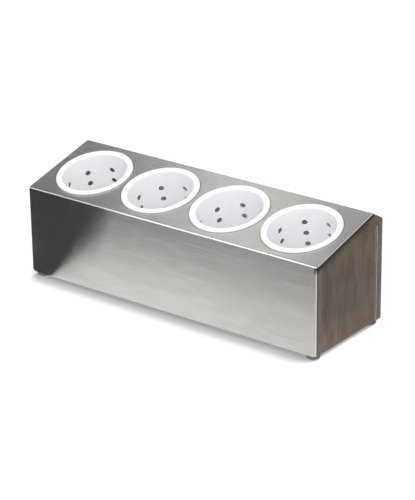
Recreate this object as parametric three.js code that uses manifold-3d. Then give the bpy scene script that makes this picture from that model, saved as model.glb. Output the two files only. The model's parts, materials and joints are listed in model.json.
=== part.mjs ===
// Stainless steel cutlery holder with four lift-out perforated cylinders.
//
// Millimetres, +Z up. The origin is on the counter, under the middle of the holder. The long side
// runs along X, the front looks towards -Y, and the top slopes down to the front.
//
// One sheet is folded into the front, the sloping top, a short chamfer and the back. Two end panels
// close it behind narrow return flanges. The underside is open, with lips that carry four screwed
// rubber feet. Each cylinder hangs in a round hole of the top by its rolled lip.

import * as THREE from 'three';
import { mergeGeometries, mergeVertices } from 'three/addons/utils/BufferGeometryUtils.js';
import Module from 'manifold-3d';

const wasm = await Module();
wasm.setup();

// Cutlery cylinders: a moulded white cup, tapered, with a rolled lip and rows of drain holes
const cylinderCount = 4;
const lipRadius = 56;             // outside of the rolled lip
const lipHeight = 3;              // top of the lip above the steel
const lipWall = 1.8;              // thickness of the rolled lip
const lipOuterRounding = 1.7;
const lipInnerRounding = 2.4;
const mouthRadius = 47;           // inside of the cup at the lip
const cupFloorRadius = 43;        // inside of the cup at the floor
const cupDepth = 131;             // steel to the underside of the floor
const cupWall = 2.2;
const cupFloorThickness = 2.6;
const cupOuterFillet = 8;
const drainHoleRadius = 4;
const drainColumns = 8;
const rowPitch = 17.3;
const plainBand = 16;             // unpierced wall between the last row and the floor's fillet
const floorDrains = 6;
const floorDrainRing = 26;        // radius of the ring of floor holes, round one in the middle
const cylinderTurns = [ 12.6, 41.6, 17.9, 33.7 ];  // degrees, as the cups happen to stand
const firstRowDepths = [ 28, 28, 28, 24 ];         // the last cup is another moulding

// Folded sheet
const sheetThickness = 1.2;
const insideBend = 1;             // inside radius of every bend
const slopeAngle = THREE.MathUtils.degToRad( 14.36 );
const frontRimMargin = 11.1;      // front edge to the lip, along the slope
const backRimMargin = 12.1;       // ridge to the lip, along the slope
const rimSpacing = 8.5;           // between two lips
const endMargin = 13.25;          // last lip to the end
const underCupClearance = 8.5;    // lowest point of a cup above the sheet's lower edge
const chamferRun = 25;            // how far the chamfer reaches back
const chamferDrop = 14;           // how far it falls
const returnFlange = 13;          // strips folded round onto the ends
const cupClearance = 1.5;         // round each cup in its hole

// End panels
const panelClearance = 0.5;       // round the panel inside the fold
const panelTopFlange = 12;
const panelBottomFlange = 15;

// Feet and their fasteners
const footRadius = 10;
const footHeight = 5;
const footDraft = 0.8;            // the foot is this much narrower at the counter
const footRounding = 0.8;
const footRecessRadius = 5.2;
const footWeb = 1.9;              // rubber between the recess and the lip
const footEdgeMargin = 0.8;       // foot to the front or back face
const footEndMargin = 2.3;        // foot to the end
const washerRadius = 4.6;
const washerThickness = 0.8;
const screwRadius = 1.95;
const screwHeadRadius = 3.7;
const screwHeadHeight = 1.9;
const screwHeadRounding = 0.7;
const screwHoleClearance = 0.3;   // in the foot, the washer and the lip
const threadClearance = 0.2;      // between the screw and the nut
const nutAcrossFlats = 7;
const nutHeight = 3.2;
const screwProtrusion = 1;        // beyond the nut

// Where two pieces only meet, they stay this far apart
const seatGap = 0.3;
const cutOverrun = 2;

// Facets of the round pieces
const cupSegments = 32;
const holeSegments = 8;
const footSegments = 12;
const screwSegments = 8;
const boreTaperShare = 40;        // a bore would come to a point after this many radii
const bendStep = THREE.MathUtils.degToRad( 30 );
const filletSteps = 2;

// Sizes that follow from the ones above
const cupPitch = 2 * lipRadius + rimSpacing;
const bodyLength = cylinderCount * 2 * lipRadius + ( cylinderCount - 1 ) * rimSpacing + 2 * endMargin;
const slopeLength = frontRimMargin + 2 * lipRadius + backRimMargin;
const slopeCentre = frontRimMargin + lipRadius;
const cupOuterFloorRadius = cupFloorRadius + cupWall;
const cupOuterMouthRadius = mouthRadius + cupWall;
const plateHoleRadius = cupOuterMouthRadius + cupClearance;
const frontHeight = underCupClearance + cupDepth * Math.cos( slopeAngle )
  + ( cupOuterFloorRadius - slopeCentre ) * Math.sin( slopeAngle );
const ridgeRun = slopeLength * Math.cos( slopeAngle );
const ridgeHeight = frontHeight + slopeLength * Math.sin( slopeAngle );
const bodyDepth = ridgeRun + chamferRun;
const backHeight = ridgeHeight - chamferDrop;
const outsideBend = insideBend + sheetThickness;
const bottomLip = 2 * footRadius + 2 * footEdgeMargin;
const screwHoleRadius = screwRadius + screwHoleClearance;

const halfLength = bodyLength / 2;
const panelFace = halfLength - sheetThickness - seatGap;
const lipEnd = panelFace - sheetThickness - seatGap;
const frontY = - bodyDepth / 2;
const backY = bodyDepth / 2;
const sheetBottom = footHeight;

// Finishes
const steel = { color: 0xb4b3af, roughness: 0.34, metalness: 1 };
const whitePlastic = { color: 0xf3f4f8, roughness: 0.35, metalness: 0 };
const rubber = { color: 0x3c3936, roughness: 0.8, metalness: 0 };
const platedSteel = { color: 0xc4c5c3, roughness: 0.3, metalness: 1 };

// From a closed three.js geometry to a solid that can be joined and cut, and back
function solidFrom( geometry ) {
  const bare = geometry.clone();
  bare.deleteAttribute( 'normal' );
  bare.deleteAttribute( 'uv' );
  const merged = mergeVertices( bare );
  const corners = merged.index.array;
  const triangles = [];
  for ( let i = 0; i < corners.length; i += 3 ) {
    const [ a, b, c ] = corners.subarray( i, i + 3 );
    if ( a !== b && b !== c && c !== a ) triangles.push( a, b, c );
  }
  return new wasm.Manifold( new wasm.Mesh( {
    numProp: 3,
    vertProperties: new Float32Array( merged.attributes.position.array ),
    triVerts: new Uint32Array( triangles )
  } ) );
}

function geometryFrom( solid ) {
  const mesh = solid.getMesh();
  const geometry = new THREE.BufferGeometry();
  geometry.setAttribute( 'position', new THREE.BufferAttribute( mesh.vertProperties, 3 ) );
  geometry.setIndex( new THREE.BufferAttribute( mesh.triVerts, 1 ) );
  geometry.computeVertexNormals();
  return geometry;
}

// The mirror image across the middle of the holder, with its faces turned outwards again
function mirroredInX( geometry ) {
  const image = geometry.clone().scale( - 1, 1, 1 );
  image.setIndex( Array.from( geometry.index.array ).reverse() );
  image.computeVertexNormals();
  return image;
}

function named( name, geometry, finish ) {
  const mesh = new THREE.Mesh( geometry, new THREE.MeshStandardMaterial( finish ) );
  mesh.name = name;
  return mesh;
}

// A section drawn in the (y, z) plane and carried along X
const sideOn = new THREE.Matrix4().makeBasis(
  new THREE.Vector3( 0, 1, 0 ), new THREE.Vector3( 0, 0, 1 ), new THREE.Vector3( 1, 0, 0 )
);

function carriedAlongX( shape, fromX, toX ) {
  const geometry = new THREE.ExtrudeGeometry( shape, { depth: toX - fromX, bevelEnabled: false } );
  return geometry.translate( 0, 0, fromX ).applyMatrix4( sideOn );
}

// A section drawn in the (x, z) plane and carried along Y
function carriedAlongY( shape, fromY, toY ) {
  const geometry = new THREE.ExtrudeGeometry( shape, { depth: toY - fromY, bevelEnabled: false } );
  return geometry.rotateX( Math.PI / 2 ).translate( 0, toY, 0 );
}

function block( fromX, toX, fromY, toY, fromZ, toZ ) {
  return new THREE.BoxGeometry( toX - fromX, toY - fromY, toZ - fromZ )
    .translate( ( fromX + toX ) / 2, ( fromY + toY ) / 2, ( fromZ + toZ ) / 2 );
}

// An upright round bar or bore between two heights
function upright( radius, fromZ, toZ, segments ) {
  return new THREE.CylinderGeometry( radius, radius, toZ - fromZ, segments )
    .rotateX( Math.PI / 2 ).translate( 0, 0, ( fromZ + toZ ) / 2 );
}

// A hole as a punch or a core pin leaves it: along Z, of the stated radius at height 0, and
// narrowing upwards by so little that the taper doesn't show. It starts at a depth below 0.
function bore( radius, depth, segments ) {
  const above = radius * boreTaperShare;
  return new THREE.ConeGeometry( radius + depth / boreTaperShare, above + depth, segments )
    .rotateX( Math.PI / 2 ).translate( 0, 0, ( above - depth ) / 2 );
}

function polygon( points ) {
  return new THREE.Shape( points.map( ( [ a, b ] ) => new THREE.Vector2( a, b ) ) );
}

// The outline of a bent sheet. The outer corners are listed so that the sheet lies to the right of
// the path. Both skins of a bend are arcs round one centre.
function foldedOutline( corners ) {
  const points = corners.map( ( [ a, b ] ) => new THREE.Vector2( a, b ) );
  const legs = points.slice( 1 ).map( ( point, i ) => point.clone().sub( points[ i ] ).normalize() );
  const inwards = legs.map( ( leg ) => new THREE.Vector2( leg.y, - leg.x ) );
  const outer = [ points[ 0 ] ];
  const inner = [ points[ 0 ].clone().addScaledVector( inwards[ 0 ], sheetThickness ) ];
  for ( let i = 1; i < legs.length; i ++ ) {
    const [ before, after ] = [ inwards[ i - 1 ], inwards[ i ] ];
    const reach = outsideBend / ( 1 + before.dot( after ) );
    const centre = points[ i ].clone().addScaledVector( before, reach ).addScaledVector( after, reach );
    const turn = Math.acos( THREE.MathUtils.clamp( before.dot( after ), - 1, 1 ) );
    const steps = Math.max( 1, Math.round( turn / bendStep ) );
    const start = Math.atan2( - before.y, - before.x );
    for ( let k = 0; k <= steps; k ++ ) {
      const angle = start - turn * k / steps;
      const ray = new THREE.Vector2( Math.cos( angle ), Math.sin( angle ) );
      outer.push( centre.clone().addScaledVector( ray, outsideBend ) );
      inner.push( centre.clone().addScaledVector( ray, insideBend ) );
    }
  }
  const last = points[ points.length - 1 ];
  outer.push( last );
  inner.push( last.clone().addScaledVector( inwards[ inwards.length - 1 ], sheetThickness ) );
  return new THREE.Shape( [ ...outer, ...inner.reverse() ] );
}

// Points of an arc in (radius, height), angles in quarter turns from +radius towards +height
function quarterArc( centreR, centreH, radius, fromQuarter, toQuarter ) {
  return Array.from( { length: filletSteps + 1 }, ( _, k ) => {
    const angle = ( fromQuarter + ( toQuarter - fromQuarter ) * k / filletSteps ) * Math.PI / 2;
    return new THREE.Vector2( centreR + radius * Math.cos( angle ), centreH + radius * Math.sin( angle ) );
  } );
}

function turned( profile, segments ) {
  return new THREE.LatheGeometry( profile, segments ).rotateX( Math.PI / 2 );
}

// The sloping top: x along the holder, y up the slope from the front edge, z out of the steel
const slopeFrame = new THREE.Matrix4().makeRotationX( slopeAngle )
  .setPosition( 0, frontY, sheetBottom + frontHeight );

const cupCentres = Array.from( { length: cylinderCount },
  ( _, i ) => ( i - ( cylinderCount - 1 ) / 2 ) * cupPitch );

const footCentres = [
  [ 'front_left', - 1, - 1 ], [ 'front_right', 1, - 1 ], [ 'back_left', - 1, 1 ], [ 'back_right', 1, 1 ]
].map( ( [ place, sideX, sideY ] ) => ( {
  place,
  x: sideX * ( halfLength - footEndMargin - footRadius ),
  y: sideY * ( backY - footEdgeMargin - footRadius )
} ) );

// The outer corners of the fold, from the front lip over the top to the back lip
const foldCorners = [
  [ frontY + bottomLip, sheetBottom ],
  [ frontY, sheetBottom ],
  [ frontY, sheetBottom + frontHeight ],
  [ frontY + ridgeRun, sheetBottom + ridgeHeight ],
  [ backY, sheetBottom + backHeight ],
  [ backY, sheetBottom ],
  [ backY - bottomLip, sheetBottom ]
];

// The closed outline of the holder's end, drawn in from its outer corners by a distance on each
// side: front, slope, chamfer, back and bottom
function endOutline( frontInset, slopeInset, chamferInset, backInset, bottomInset ) {
  const ring = foldCorners.slice( 1, 6 ).map( ( [ a, b ] ) => new THREE.Vector2( a, b ) );
  const insets = [ frontInset, slopeInset, chamferInset, backInset, bottomInset ];
  const sides = ring.map( ( from, i ) => {
    const to = ring[ ( i + 1 ) % ring.length ];
    const along = to.clone().sub( from ).normalize();
    const inward = new THREE.Vector2( along.y, - along.x );
    return { start: from.clone().addScaledVector( inward, insets[ i ] ), along };
  } );
  return polygon( sides.map( ( side, i ) => {
    const last = sides[ ( i + sides.length - 1 ) % sides.length ];
    const between = side.start.clone().sub( last.start );
    const travel = between.cross( side.along ) / last.along.cross( side.along );
    return last.start.clone().addScaledVector( last.along, travel ).toArray();
  } ) );
}

// One sheet folded round the holder, with its holes and the return flanges at both ends
function bodyShell() {
  let shell = solidFrom( carriedAlongX( foldedOutline( foldCorners ), - halfLength, halfLength ) );

  for ( const x of cupCentres ) {
    const hole = bore( plateHoleRadius, sheetThickness + cutOverrun, cupSegments )
      .translate( x, slopeCentre, 0 ).applyMatrix4( slopeFrame );
    shell = shell.subtract( solidFrom( hole ) );
  }

  // The lips stop short of the end panels, and the corner under them is relieved
  for ( const side of [ - 1, 1 ] ) {
    const [ nearX, farX ] = [ side * lipEnd, side * ( halfLength + cutOverrun ) ];
    const relief = block( Math.min( nearX, farX ), Math.max( nearX, farX ),
      frontY - cutOverrun, backY + cutOverrun, sheetBottom - cutOverrun, sheetBottom + outsideBend );
    shell = shell.subtract( solidFrom( relief ) );
  }

  // The return flanges run down the front, along the chamfer and down the back. The sloping top has
  // none: its cut edge stands a little over them.
  const topGap = sheetThickness + seatGap;
  for ( const side of [ - 1, 1 ] ) {
    const outerX = side * halfLength;
    const innerX = side * ( halfLength - sheetThickness );
    const plate = solidFrom( carriedAlongX( endOutline( 0, topGap, 0, 0, outsideBend ),
      Math.min( outerX, innerX ), Math.max( outerX, innerX ) ) );
    const window = solidFrom( carriedAlongX(
      endOutline( returnFlange, - cutOverrun, returnFlange, returnFlange, - cutOverrun ),
      - halfLength - cutOverrun, halfLength + cutOverrun ) );
    shell = shell.add( plate.subtract( window ) );
  }

  // The bends at the ends round off the four upright corners
  const plan = new THREE.Shape();
  const corners = [ [ 1, - 1, - 1 ], [ 1, 1, 0 ], [ - 1, 1, 1 ], [ - 1, - 1, 2 ] ];
  for ( const [ sideX, sideY, quarter ] of corners ) {
    plan.absarc( sideX * ( halfLength - outsideBend ), sideY * ( backY - outsideBend ), outsideBend,
      quarter * Math.PI / 2, ( quarter + 1 ) * Math.PI / 2, false );
  }
  const height = ridgeHeight + 2 * cutOverrun;
  const rounded = new THREE.ExtrudeGeometry( plan, { depth: height, bevelEnabled: false, curveSegments: 3 } )
    .translate( 0, 0, sheetBottom - cutOverrun );
  shell = shell.intersect( solidFrom( rounded ) );

  for ( const { x, y } of footCentres ) {
    const hole = bore( screwHoleRadius, cutOverrun, screwSegments ).translate( x, y, sheetBottom );
    shell = shell.subtract( solidFrom( hole ) );
  }
  return named( 'body_shell', geometryFrom( shell ), steel );
}

// A flat plate behind the return flanges, with one flange under the slope and one along the bottom
function endPanel( name, side ) {
  const inset = sheetThickness + panelClearance;
  const innerFace = panelFace - sheetThickness;
  const section = foldedOutline( [
    [ panelFace, sheetBottom + ridgeHeight ],
    [ panelFace, sheetBottom ],
    [ panelFace - panelBottomFlange, sheetBottom ]
  ] );
  let panel = solidFrom( carriedAlongY( section, frontY, backY ) );

  const topInset = sheetThickness + seatGap;
  const outline = endOutline( inset, topInset + outsideBend, inset, inset, 0 );
  panel = panel.intersect( solidFrom( carriedAlongX( outline, 0, halfLength ) ) );

  // The bottom flange is notched for the two lips of the fold
  for ( const end of [ - 1, 1 ] ) {
    const [ nearY, farY ] = [ end * ( backY - bottomLip - seatGap ), end * ( backY + cutOverrun ) ];
    const notch = block( 0, innerFace, Math.min( nearY, farY ), Math.max( nearY, farY ),
      sheetBottom - cutOverrun, sheetBottom + outsideBend );
    panel = panel.subtract( solidFrom( notch ) );
  }

  // The top flange is bent in under the slope, and stops clear of the two end bends
  const topSection = foldedOutline( [
    [ panelFace - panelTopFlange, - topInset ],
    [ panelFace, - topInset ],
    [ panelFace, - topInset - 2 * outsideBend ]
  ] );
  const flange = carriedAlongY( topSection, outsideBend + inset, slopeLength - outsideBend - inset )
    .applyMatrix4( slopeFrame );
  panel = panel.add( solidFrom( flange ) );

  const geometry = geometryFrom( panel );
  return named( name, side > 0 ? geometry : mirroredInX( geometry ), steel );
}

// One moulded cup in its own frame: the axis is Z and the steel's face is at height 0
function cutleryCylinder( firstRowDepth ) {
  const bottom = - cupDepth;
  const floor = bottom + cupFloorThickness;
  const innerFillet = cupOuterFillet - cupWall;
  const lipUnderside = seatGap;
  const rollRoof = lipHeight - lipWall;
  const profile = [
    new THREE.Vector2( 0, bottom ),
    ...quarterArc( cupOuterFloorRadius - cupOuterFillet, bottom + cupOuterFillet, cupOuterFillet, - 1, 0 ),
    new THREE.Vector2( cupOuterMouthRadius, rollRoof ),
    new THREE.Vector2( lipRadius - lipWall, rollRoof ),
    new THREE.Vector2( lipRadius - lipWall, lipUnderside ),
    new THREE.Vector2( lipRadius, lipUnderside ),
    ...quarterArc( lipRadius - lipOuterRounding, lipHeight - lipOuterRounding, lipOuterRounding, 0, 1 ),
    ...quarterArc( mouthRadius + lipInnerRounding, lipHeight - lipInnerRounding, lipInnerRounding, 1, 2 ),
    ...quarterArc( cupFloorRadius - innerFillet, floor + innerFillet, innerFillet, 0, - 1 ),
    new THREE.Vector2( 0, floor )
  ];
  // Every bore goes through one wall, in the middle of a facet
  const bores = [];
  const firstColumn = Math.PI / cupSegments;
  const firstRow = lipHeight - firstRowDepth;
  const lowestRow = bottom + cupOuterFillet + plainBand + drainHoleRadius;
  const rows = Math.max( 1, Math.floor( ( firstRow - lowestRow ) / rowPitch ) + 1 );
  for ( let row = 0; row < rows; row ++ ) {
    for ( let column = 0; column < drainColumns; column ++ ) {
      bores.push( bore( drainHoleRadius, cupFloorRadius / 2, holeSegments )
        .rotateY( Math.PI / 2 )
        .translate( cupFloorRadius, 0, firstRow - row * rowPitch )
        .rotateZ( firstColumn + column * 2 * Math.PI / drainColumns ) );
    }
  }
  const cup = solidFrom( turned( profile, cupSegments ) ).subtract( solidFrom( mergeGeometries( bores ) ) );

  const drains = [ bore( drainHoleRadius, cutOverrun, holeSegments ).translate( 0, 0, bottom ) ];
  for ( let drain = 0; drain < floorDrains; drain ++ ) {
    drains.push( bore( drainHoleRadius, cutOverrun, holeSegments )
      .translate( floorDrainRing, 0, bottom ).rotateZ( drain * 2 * Math.PI / floorDrains ) );
  }
  return geometryFrom( cup.subtract( solidFrom( mergeGeometries( drains ) ) ) );
}

// Rubber foot: a drafted disc, recessed from below for the washer and the screw's head
function footProfile() {
  const recessRoof = footHeight - footWeb;
  const bottomRadius = footRadius - footDraft;
  return [
    new THREE.Vector2( screwHoleRadius, footHeight ),
    new THREE.Vector2( screwHoleRadius, recessRoof ),
    new THREE.Vector2( footRecessRadius, recessRoof ),
    new THREE.Vector2( footRecessRadius, 0 ),
    new THREE.Vector2( bottomRadius - footRounding, 0 ),
    new THREE.Vector2( bottomRadius, footRounding ),
    new THREE.Vector2( footRadius, footHeight ),
    new THREE.Vector2( screwHoleRadius, footHeight )
  ];
}

function washerProfile() {
  const top = footHeight - footWeb;
  const bottom = top - washerThickness;
  return [
    new THREE.Vector2( screwHoleRadius, top ),
    new THREE.Vector2( screwHoleRadius, bottom ),
    new THREE.Vector2( washerRadius, bottom ),
    new THREE.Vector2( washerRadius, top ),
    new THREE.Vector2( screwHoleRadius, top )
  ];
}

function screwProfile() {
  const seat = footHeight - footWeb - washerThickness;
  const headBottom = seat - screwHeadHeight;
  const tip = sheetBottom + sheetThickness + nutHeight + screwProtrusion;
  return [
    new THREE.Vector2( 0, headBottom ),
    new THREE.Vector2( screwHeadRadius - screwHeadRounding, headBottom ),
    new THREE.Vector2( screwHeadRadius, headBottom + screwHeadRounding ),
    new THREE.Vector2( screwHeadRadius, seat ),
    new THREE.Vector2( screwRadius, seat ),
    new THREE.Vector2( screwRadius, tip ),
    new THREE.Vector2( 0, tip )
  ];
}

function nutGeometry() {
  const bottom = sheetBottom + sheetThickness;
  const cornerRadius = nutAcrossFlats / 2 / Math.cos( Math.PI / 6 );
  const hexagon = solidFrom( upright( cornerRadius, bottom, bottom + nutHeight, 6 ) );
  const bore = upright( screwRadius + threadClearance, bottom - cutOverrun,
    bottom + nutHeight + cutOverrun, screwSegments );
  return geometryFrom( hexagon.subtract( solidFrom( bore ) ) );
}

const holder = new THREE.Group();
holder.add( bodyShell() );
holder.add( endPanel( 'left_end_panel', - 1 ) );
holder.add( endPanel( 'right_end_panel', 1 ) );

// The cylinders stand in the slope's frame, each turned as it happens to stand
const slope = new THREE.Group();
slope.applyMatrix4( slopeFrame );
cupCentres.forEach( ( x, i ) => {
  const turn = THREE.MathUtils.degToRad( cylinderTurns[ i ] ) - Math.PI / cupSegments;
  const cup = named( `cutlery_cylinder_${ i + 1 }`, cutleryCylinder( firstRowDepths[ i ] ), whitePlastic );
  cup.position.set( x, slopeCentre, 0 );
  cup.rotation.z = turn;
  slope.add( cup );
} );
holder.add( slope );

for ( const { place, x, y } of footCentres ) {
  const fixing = new THREE.Group();
  fixing.position.set( x, y, 0 );
  fixing.add( named( `foot_${ place }`, turned( footProfile(), footSegments ), rubber ) );
  fixing.add( named( `foot_washer_${ place }`, turned( washerProfile(), screwSegments ), platedSteel ) );
  fixing.add( named( `foot_screw_${ place }`, turned( screwProfile(), screwSegments ), platedSteel ) );
  fixing.add( named( `foot_nut_${ place }`, nutGeometry(), platedSteel ) );
  holder.add( fixing );
}

export default holder;
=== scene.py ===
# %% [markdown]
# # A counter-top cutlery holder, dressed for its picture
#
# The holder is one sheet of brushed stainless steel folded round four lift-out white cylinders.
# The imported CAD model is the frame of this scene. Every surface below is worked out with numpy from
# the same sizes as the CAD, given its finish with shader nodes, and put in the place of its CAD node.

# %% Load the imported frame
import json
from types import SimpleNamespace

import bpy
import numpy as np
from mathutils import Matrix, Vector

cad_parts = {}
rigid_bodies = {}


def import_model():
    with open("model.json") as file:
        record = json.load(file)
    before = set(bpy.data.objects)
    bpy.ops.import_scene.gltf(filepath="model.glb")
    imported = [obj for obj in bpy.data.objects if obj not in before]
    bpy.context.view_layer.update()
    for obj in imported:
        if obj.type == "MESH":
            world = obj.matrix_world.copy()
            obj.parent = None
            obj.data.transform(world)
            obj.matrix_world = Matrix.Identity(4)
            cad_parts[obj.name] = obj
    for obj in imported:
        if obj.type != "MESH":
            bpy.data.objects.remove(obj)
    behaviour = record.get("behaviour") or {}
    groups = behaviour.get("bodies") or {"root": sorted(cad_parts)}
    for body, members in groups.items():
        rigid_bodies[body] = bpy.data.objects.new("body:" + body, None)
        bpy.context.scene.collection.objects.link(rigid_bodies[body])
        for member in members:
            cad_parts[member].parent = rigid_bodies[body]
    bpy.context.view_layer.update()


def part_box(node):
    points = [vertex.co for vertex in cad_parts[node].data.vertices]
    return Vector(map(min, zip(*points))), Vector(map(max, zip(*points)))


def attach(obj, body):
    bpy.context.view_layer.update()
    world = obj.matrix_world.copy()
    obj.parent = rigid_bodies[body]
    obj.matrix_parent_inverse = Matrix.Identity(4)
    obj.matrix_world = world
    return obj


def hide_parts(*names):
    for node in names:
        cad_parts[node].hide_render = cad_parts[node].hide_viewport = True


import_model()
MM = 0.001

# %% [markdown]
# ## The camera
#
# The photograph was taken from the front right and a little above. A pinhole camera was fitted to
# the holder's edges and to the four lips, so its place and its three axes are simply stated here.
# The long side of the picture is 500 pixels, and Blender measures the sensor along that side.

# %% Camera
camera_place = (1.6490, -2.1087, 1.1947)
picture_right = Vector((0.79303, 0.60904, -0.01314))
picture_up = Vector((-0.22591, 0.31407, 0.92213))
focal_pixels, long_side_pixels, sensor_mm = 2075.7, 500, 36.0


def in_scene(name, data):
    """A new object with this data, linked into the scene."""
    thing = bpy.data.objects.new(name, data)
    bpy.context.scene.collection.objects.link(thing)
    return thing


camera_data = bpy.data.cameras.new("studio_camera")
camera_data.sensor_width = sensor_mm
camera_data.lens = focal_pixels * sensor_mm / long_side_pixels
camera_data.clip_start, camera_data.clip_end = 0.05, 60.0
camera = in_scene("studio_camera", camera_data)
axes = Matrix((picture_right, picture_up, picture_right.cross(picture_up))).transposed()
camera.matrix_world = Matrix.Translation(camera_place) @ axes.to_4x4()
bpy.context.scene.camera = camera
bpy.context.scene.view_settings.view_transform = "Standard"
print("lens", round(camera_data.lens, 1), "mm")

# %% [markdown]
# ## From grids of points to a mesh
#
# Every surface here is a patch: a grid of points with rows and columns. Columns crossed with rows
# point out of the material. Where two patches meet they share the same points, so welding them
# closes the seam. A sheet or a moulded wall is two such skins with the same layout. The second one
# is turned to face the other way, and a rim joins them along each open edge.

# %% Patches and welding
def grid_of(*coordinates):
    """Points on a grid, from coordinates that broadcast against each other."""
    return np.stack(np.broadcast_arrays(*coordinates), -1).astype(float)


def in_profile(x, yz):
    """Points from their place along the holder and their (y, z) in its profile."""
    return grid_of(x, yz[..., 0], yz[..., 1])


def grid_quads(rows, columns, first):
    """Four corners of every cell of a grid whose points are counted row by row from first."""
    row, column = np.meshgrid(np.arange(rows - 1), np.arange(columns - 1), indexing="ij")
    corner = (row * columns + column).ravel() + first
    return np.column_stack([corner, corner + 1, corner + columns + 1, corner + columns])


def stacked(patches):
    """All points and quads of a list of (rows, columns, 3) grids as two arrays."""
    firsts = np.cumsum([0] + [grid.shape[0] * grid.shape[1] for grid in patches])
    quads = np.vstack([grid_quads(*grid.shape[:2], first) for grid, first in zip(patches, firsts)])
    return np.vstack([grid.reshape(-1, grid.shape[-1]) for grid in patches]), quads


def welded(points):
    """One number for each group of points that agree to a thousandth of a millimetre."""
    off_the_round_numbers = 0.137
    keys = np.round(points * 1000 + off_the_round_numbers).astype(np.int64)
    _, first, group = np.unique(keys, axis=0, return_index=True, return_inverse=True)
    return first, group.reshape(-1)


def without_repeats(quads, loops):
    """Quads stay, those with two equal neighbours become triangles, and less than that is dropped."""
    same = quads == np.roll(quads, -1, axis=1)
    repeats = same.sum(axis=1)
    cases = [(repeats == 0, [0, 1, 2, 3])] + [
        ((repeats == 1) & same[:, side], [k for k in range(4) if k != side]) for side in range(4)]
    cases = [(chosen & (quads[:, keep[0]] != quads[:, keep[2]]), keep) for chosen, keep in cases]
    return [[part[chosen][:, keep] for chosen, keep in cases] for part in (quads, loops)]


print("a 3 by 4 grid has", len(grid_quads(3, 4, 0)), "cells")

# %% Meshes of skins and walls
def mesh_of(name, points, faces, corner_uvs=None):
    """A Blender mesh in metres from points in millimetres, smooth apart from its sharp edges."""
    mesh = bpy.data.meshes.new(name)
    mesh.from_pydata((points * MM).tolist(), [], [face for group in faces for face in group.tolist()])
    if corner_uvs is not None:
        layer = mesh.uv_layers.new(name="developed")
        uvs = np.vstack([uv.reshape(-1, 2) for uv in corner_uvs]) * MM
        layer.data.foreach_set("uv", uvs.astype(np.float32).ravel())
    mesh.polygons.foreach_set("use_smooth", np.ones(len(mesh.polygons), bool))
    mesh.set_sharp_from_angle(angle=np.radians(38))
    return mesh


def sides_of(faces):
    """Every side of every face, as two points in the face's own order."""
    return np.vstack([np.column_stack([f.ravel(), np.roll(f, -1, axis=1).ravel()]) for f in faces])


def walled(name, near_skin, far_skin, developed=None, ease=0.0):
    """A closed wall between two skins of one layout.

    Both skins are welded by the near one's points. Each face of the far skin runs the other way
    round. An edge that only one face uses is open, and it gets a quad across to the far skin, after
    both skins have been drawn together there by ease millimetres, which takes off the sharp edge.
    """
    near, quads = stacked(near_skin)
    far, _ = stacked(far_skin)
    first, group = welded(near)
    faces, loops = without_repeats(group[quads], quads)
    count = len(first)
    edges = sides_of(faces)
    is_open = ~np.isin(edges[:, 1] * count + edges[:, 0], edges[:, 0] * count + edges[:, 1])
    a, b = edges[is_open].T
    near, far = near[first], far[first]
    inward = np.isin(np.arange(count), (a, b))[:, None] * (far - near)
    inward *= np.minimum(ease / np.maximum(np.linalg.norm(inward, axis=1, keepdims=True), 1e-9), 0.25)
    near, far = near + inward, far - inward
    rims = np.column_stack([b, a, a + count, b + count])
    uvs = None
    if developed:
        uv, _ = stacked(developed)
        rim_loops = sides_of(loops)[is_open][:, [1, 0, 0, 1]]
        uvs = [uv[c] for c in loops] + [uv[c[:, ::-1]] for c in loops] + [uv[rim_loops]]
    mesh = mesh_of(name, np.vstack([near, far]),
                   faces + [face[:, ::-1] + count for face in faces] + [rims], uvs)
    cut = np.arange(len(mesh.polygons)) >= len(mesh.polygons) - len(rims)
    mesh.polygons.foreach_set("material_index", (cut * bool(developed)).astype(np.int32))
    return mesh


def turned_solid(name, surface):
    """A closed solid from a patch that already closes on itself, turned to face outwards.

    Its volume is a sixth of the sum of corner dot (corner cross corner) over all triangles.
    """
    points, quads = stacked([surface])
    first, group = welded(points)
    faces, loops = without_repeats(group[quads], quads)
    volume = sum(np.einsum("ij,ij->", points[c[:, 0]], np.cross(points[c[:, k]], points[c[:, k + 1]]))
                 for c in loops for k in range(1, c.shape[1] - 1))
    return mesh_of(name, points[first], [f[:, ::-1] for f in faces] if volume < 0 else faces)

# %% Putting a piece in its CAD node's place
def points_of(mesh):
    """A mesh's points in millimetres."""
    points = np.zeros(len(mesh.vertices) * 3, np.float32)
    mesh.vertices.foreach_get("co", points)
    return points.reshape(-1, 3) / MM


def placed(name, mesh, body, node, slot, *materials):
    """Puts a finished piece in the scene in its CAD node's place."""
    mesh.name = name
    piece = in_scene(name, mesh)
    for material in materials:
        piece.data.materials.append(material)
    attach(piece, body)
    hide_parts(node)
    low, high = np.array(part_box(node)) / MM
    points = points_of(mesh)
    print(name, len(mesh.polygons), "faces, past the CAD box by",
          np.round(np.maximum(low - points.min(0), points.max(0) - high), 2), "mm")

# %% [markdown]
# ## Round holes in flat patches
#
# A hole in a grid is easiest when the grid is bent round it. Rays run from the hole's centre to the
# points on the patch's border. The first row of the patch is where they cross the hole's circle, and
# the last row is the border itself, which the neighbours share. The same function pierces the sheet,
# the cylinders' walls and their floors, because each of them can be laid flat.

# %% Rays from a circle to a border
hair = 1e-4  # allowance when a point is compared with a line that it should lie on


def pierced(border, centre, radius, shares=(0.0, 0.02, 0.1, 0.25, 0.5, 0.75, 1.0)):
    """A flat patch with one round hole: circle plus share times (border minus circle), row by row."""
    away = border - centre
    circle = centre + radius * away / np.linalg.norm(away, axis=1, keepdims=True)
    return circle + np.asarray(shares)[:, None, None] * (border - circle)


def rectangle_border(across, along):
    """A rectangle's border, clockwise from its low corner, through the stated points of its sides."""
    return np.vstack([grid_of(across[0], along), grid_of(across, along[-1])[1:],
                      grid_of(across[-1], along[::-1])[1:], grid_of(across[::-1], along[0])[1:]])


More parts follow.
